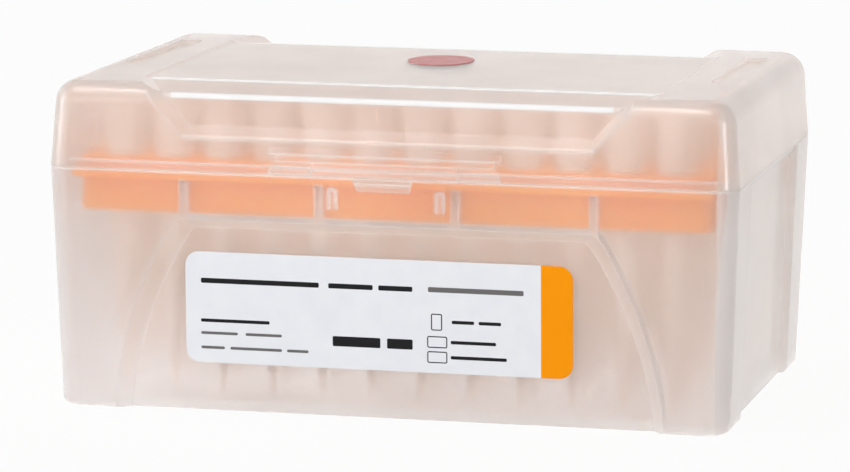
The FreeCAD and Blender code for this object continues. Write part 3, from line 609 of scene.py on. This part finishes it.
@dataclass(frozen=True)
class LabelPaper:
    """Coated white paper with an amber stripe at its right end and plain bars for print."""

    name: str = "paper_label"
    paper: Colour = linear(240, 243, 248)
    shade: Colour = linear(236, 239, 245)
    stripe: Colour = linear(255, 156, 0)
    ink: Colour = linear(34, 34, 36)
    grey_ink: Colour = linear(112, 110, 110)
    stripe_start: float = 0.02707
    frame_line: float = 0.0001
    index: float = 1.45
    shine: float = 0.1
    fibres: float = 260.0
    smoothest: float = 0.42
    roughest: float = 0.5
    relief: Relief = Relief(3000.0, 0.00001, 0.25)
    marks: tuple[PrintMark, ...] = (
        PrintMark(-34.0, -12.6, 22.8, 23.7),
        PrintMark(-10.9, -2.9, 22.8, 23.7),
        PrintMark(-1.9, 4.2, 22.8, 23.7),
        PrintMark(-10.2, -1.6, 12.5, 14.3),
        PrintMark(-0.4, 4.2, 12.5, 14.3),
        PrintMark(-34.1, -21.6, 15.8, 16.4),
        PrintMark(7.6, 9.4, 16.2, 19.0, True),
        PrintMark(11.2, 15.2, 17.4, 18.0),
        PrintMark(16.0, 20.0, 17.4, 18.0),
        PrintMark(6.9, 10.3, 13.1, 15.0, True),
        PrintMark(11.0, 19.1, 13.8, 14.4),
        PrintMark(6.9, 10.3, 10.4, 12.3, True),
        PrintMark(11.0, 21.0, 11.1, 11.7),
    )
    grey_marks: tuple[PrintMark, ...] = (
        PrintMark(7.0, 24.0, 22.9, 23.8),
        PrintMark(-34.1, -27.4, 13.6, 14.1),
        PrintMark(-26.0, -19.4, 13.6, 14.1),
        PrintMark(-34.1, -29.8, 11.0, 11.5),
        PrintMark(-28.8, -19.4, 11.0, 11.5),
        PrintMark(-18.5, -14.6, 11.0, 11.5),
    )

    def build(self) -> bpy.types.Material:
        """Make the material."""
        tree = NodeTree(self.name)
        tree.set(IOR=self.index, Specular_IOR_Level=self.shine)
        fibre = tree.spread(tree.noise(self.fibres, CLOUDY_DETAIL), 0.0, 1.0)
        base = tree.blend(fibre, self.paper, self.shade)
        axes = tree.add("ShaderNodeSeparateXYZ")
        tree.join(tree.place, "Object", axes, "Vector")
        past = tree.math("GREATER_THAN", axes, self.stripe_start, out="X")
        for factor, colour in ((past, self.stripe), (self.printed(tree, self.marks), self.ink),
                               (self.printed(tree, self.grey_marks), self.grey_ink)):
            base = tree.cover(factor, base, colour)
        tree.roughen(fibre, self.smoothest, self.roughest)
        tree.grain(self.relief)
        return tree.material

    def printed(self, tree: NodeTree, marks: tuple[PrintMark, ...]) -> bpy.types.Node:
        """Find where any of some marks lies.

        Args:
            tree: the material's nodes.
            marks: the marks.

        Returns:
            The node that gives 1 on a mark and 0 elsewhere.
        """
        nearest = None
        for mark in marks:
            centre = ((mark.left + mark.right) / 2 * MM, 0.0, (mark.low + mark.high) / 2 * MM)
            half = ((mark.right - mark.left) / 2 * MM, ENDLESS, (mark.high - mark.low) / 2 * MM)
            distance = tree.box_distance(centre, half, MARK_ROUND)
            if mark.framed:
                size = tree.math("ABSOLUTE", distance, 0.0)
                distance = tree.math("SUBTRACT", size, self.frame_line)
            nearest = distance if nearest is None else tree.math("MINIMUM", nearest, distance)
        return tree.math("LESS_THAN", nearest, 0.0)


@dataclass(frozen=True)
class IndicatorFilm:
    """Faded red film of the oval indicator."""

    name: str = "indicator_film"
    light: Colour = linear(212, 141, 138)
    deep: Colour = linear(201, 127, 125)
    index: float = 1.45
    fading: float = 420.0
    fading_detail: float = 4.0
    patches: float = 300.0
    smoothest: float = 0.4
    roughest: float = 0.55
    relief: Relief = Relief(2400.0, 0.00002, 0.3)

    def build(self) -> bpy.types.Material:
        """Make the material."""
        tree = NodeTree(self.name)
        tree.set(IOR=self.index)
        tree.mottle(self.fading, self.fading_detail, self.light, self.deep)
        tree.roughen(tree.noise(self.patches), self.smoothest, self.roughest)
        tree.grain(self.relief)
        return tree.material


class Finish(Protocol):
    """Anything that can make a material."""

    def build(self) -> bpy.types.Material:
        """Make the material."""


@dataclass(frozen=True)
class DressedNodes:
    """CAD nodes of one kind, which keep their shape and take one finish."""

    piece: Piece
    finish: Finish
    shades: bool = True

    def owns(self, name: str) -> bool:
        """Tell whether a node is of this kind.

        Args:
            name: the node's name.

        Returns:
            True for the piece itself and for its numbered columns.
        """
        return name == self.piece.value or name.startswith(self.piece.value + "_")

    def dress(self, nodes: dict[str, bpy.types.Object]) -> None:
        """Put the finish in every material slot of the nodes.

        Args:
            nodes: the frame's nodes by name.
        """
        material = self.finish.build()
        for name, item in nodes.items():
            if not self.owns(name):
                continue
            for holder in item.material_slots:
                holder.material = material
            item.visible_shadow = self.shades
            log.info("dressed %s with %s", name, material.name)


@dataclass(frozen=True)
class SoftLamp:
    """A soft rectangular lamp, in metres and watts.

    A gloss_only lamp is there for shine, though rough clear plastic still lets some of it in.
    """

    name: str
    place: Point
    size: tuple[float, float]
    power: float
    gloss_only: bool = True


@dataclass(frozen=True)
class Studio:
    """A pale floor, soft lamps and a white surround."""

    floor_half: float = 3.0
    floor: Colour = linear(250, 250, 250)
    soft_level: float = 0.87
    # Which way the surround's soft light is stronger, and by how much.
    bright_side: Point = (-0.38, -0.22, -0.17)
    white_share: float = 0.9
    aim: Point = (0.0, 0.0, 0.03)
    lamps: tuple[SoftLamp, ...] = (
        SoftLamp("key_lamp", (-0.50, -0.90, 0.50), (0.4, 0.4), 1.1, gloss_only=False),
        SoftLamp("top_softbox", (-0.15, -0.35, 1.00), (1.0, 0.30), 9.0),
        SoftLamp("left_softbox", (-1.00, -0.15, 0.12), (0.40, 0.6), 5.0),
        SoftLamp("right_softbox", (1.05, -0.35, 0.10), (0.25, 0.5), 5.5),
    )

    def seen_by(self, tree: bpy.types.NodeTree) -> bpy.types.NodeSocket:
        """Make a factor that is 1 for every kind of ray in Seen.

        Args:
            tree: the node tree to add to.

        Returns:
            The socket that gives the factor.
        """
        path = tree.nodes.new("ShaderNodeLightPath")
        last, *others = [path.outputs[kind.value] for kind in Seen]
        for other in others:
            either = tree.nodes.new("ShaderNodeMath")
            either.operation = "MAXIMUM"
            tree.links.new(last, either.inputs[0])
            tree.links.new(other, either.inputs[1])
            last = either.outputs[0]
        return last

    def build_world(self) -> None:
        """White where it is seen, a plain soft light elsewhere."""
        world = bpy.data.worlds.new("surround")
        bpy.context.scene.world = world
        world.use_nodes = True
        tree = world.node_tree
        tree.nodes.clear()
        output = tree.nodes.new("ShaderNodeOutputWorld")
        mix = tree.nodes.new("ShaderNodeMixShader")
        soft = tree.nodes.new("ShaderNodeBackground")
        soft.inputs["Color"].default_value = WHITE
        side = tree.nodes.new("ShaderNodeTexCoord")
        lean = tree.nodes.new("ShaderNodeVectorMath")
        lean.operation = "DOT_PRODUCT"
        lean.inputs[1].default_value = self.bright_side
        level = tree.nodes.new("ShaderNodeMath")
        level.operation = "ADD"
        level.inputs[1].default_value = self.soft_level
        tree.links.new(side.outputs["Generated"], lean.inputs[0])
        tree.links.new(lean.outputs["Value"], level.inputs[0])
        tree.links.new(level.outputs[0], soft.inputs["Strength"])
        white = tree.nodes.new("ShaderNodeBackground")
        white.inputs["Color"].default_value = WHITE
        white.inputs["Strength"].default_value = 1.0
        tree.links.new(self.seen_by(tree), mix.inputs["Fac"])
        tree.links.new(soft.outputs[0], mix.inputs[1])
        tree.links.new(white.outputs[0], mix.inputs[2])
        tree.links.new(mix.outputs[0], output.inputs["Surface"])

    def build_floor(self) -> None:
        """A pale floor that keeps the shadow and is near white where it is seen."""
        mesh = bpy.data.meshes.new("floor")
        form = bmesh.new()
        bmesh.ops.create_grid(form, x_segments=1, y_segments=1, size=self.floor_half)
        form.to_mesh(mesh)
        form.free()
        floor = bpy.data.objects.new("floor", mesh)
        bpy.context.scene.collection.objects.link(floor)
        floor.data.materials.append(self.floor_material())

    def floor_material(self) -> bpy.types.Material:
        """Matt pale floor, lifted towards white where it is seen."""
        material = bpy.data.materials.new("floor")
        material.use_nodes = True
        tree = material.node_tree
        tree.nodes.clear()
        output = tree.nodes.new("ShaderNodeOutputMaterial")
        matt = tree.nodes.new("ShaderNodeBsdfDiffuse")
        matt.inputs["Color"].default_value = (*self.floor, 1.0)
        glow = tree.nodes.new("ShaderNodeEmission")
        glow.inputs["Color"].default_value = WHITE
        share = tree.nodes.new("ShaderNodeMath")
        share.operation = "MULTIPLY"
        share.inputs[1].default_value = self.white_share
        mix = tree.nodes.new("ShaderNodeMixShader")
        tree.links.new(self.seen_by(tree), share.inputs[0])
        tree.links.new(share.outputs[0], mix.inputs["Fac"])
        tree.links.new(matt.outputs[0], mix.inputs[1])
        tree.links.new(glow.outputs[0], mix.inputs[2])
        tree.links.new(mix.outputs[0], output.inputs["Surface"])
        return material

    def add_lamp(self, lamp: SoftLamp) -> None:
        """Add a lamp that faces the box and that the camera doesn't see.

        Args:
            lamp: its place, size and power.
        """
        light = bpy.data.lights.new(lamp.name, "AREA")
        light.shape = "RECTANGLE"
        light.size, light.size_y = lamp.size
        light.energy = lamp.power
        place = Vector(lamp.place)
        holder = bpy.data.objects.new(lamp.name, light)
        holder.location = place
        holder.visible_camera = False
        holder.visible_diffuse = not lamp.gloss_only
        holder.visible_transmission = not lamp.gloss_only
        holder.rotation_euler = (Vector(self.aim) - place).to_track_quat("-Z", "Y").to_euler()
        bpy.context.scene.collection.objects.link(holder)

    def build(self) -> None:
        """Make the world, the floor and the lamps."""
        self.build_world()
        self.build_floor()
        for lamp in self.lamps:
            self.add_lamp(lamp)


@dataclass(frozen=True)
class ViewCamera:
    """The camera: where it stands, how it is turned, and its lens and sensor in millimetres."""

    place: Point = (0.20164, -0.85378, 0.16387)
    yaw: float = math.radians(-13.43)
    pitch: float = math.radians(-8.88)
    roll: float = math.radians(0.25)
    lens: float = 207.44
    sensor: float = 36.0
    shift_x: float = -0.0020
    shift_y: float = -0.0001
    nearest: float = 0.01
    farthest: float = 20.0

    def build(self) -> None:
        """Make the camera and give it to the scene."""
        ahead = Vector((math.sin(self.yaw) * math.cos(self.pitch),
                        math.cos(self.yaw) * math.cos(self.pitch), math.sin(self.pitch)))
        level = Vector((math.cos(self.yaw), -math.sin(self.yaw), 0.0))
        above = level.cross(ahead)
        right = math.cos(self.roll) * level + math.sin(self.roll) * above
        up = -math.sin(self.roll) * level + math.cos(self.roll) * above
        data = bpy.data.cameras.new("view_camera")
        data.lens = self.lens
        data.sensor_width = self.sensor
        data.shift_x = self.shift_x
        data.shift_y = self.shift_y
        data.clip_start, data.clip_end = self.nearest, self.farthest
        camera = bpy.data.objects.new("view_camera", data)
        turn = Matrix((right, up, -ahead)).transposed().to_4x4()
        camera.matrix_world = Matrix.Translation(Vector(self.place)) @ turn
        bpy.context.scene.collection.objects.link(camera)
        bpy.context.scene.camera = camera


def main() -> None:
    """Build the scene in order."""
    logging.basicConfig(level=logging.INFO, format="%(message)s")
    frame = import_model()
    nodes = frame["nodes"]
    bpy.context.scene.view_settings.view_transform = "Standard"
    ViewCamera().build()
    Studio().build()
    parts = (
        DressedNodes(Piece.TUB, FrostedShell()),
        DressedNodes(Piece.LID, WarmShell()),
        DressedNodes(Piece.TRAY, TrayPlastic()),
        DressedNodes(Piece.TIPS, TipPlastic(), shades=False),
        DressedNodes(Piece.FILTERS, PorousFilter(), shades=False),
        DressedNodes(Piece.LABEL, LabelPaper()),
        DressedNodes(Piece.STICKER, IndicatorFilm()),
    )
    for part in parts:
        part.dress(nodes)


if __name__ == "__main__":
    main()
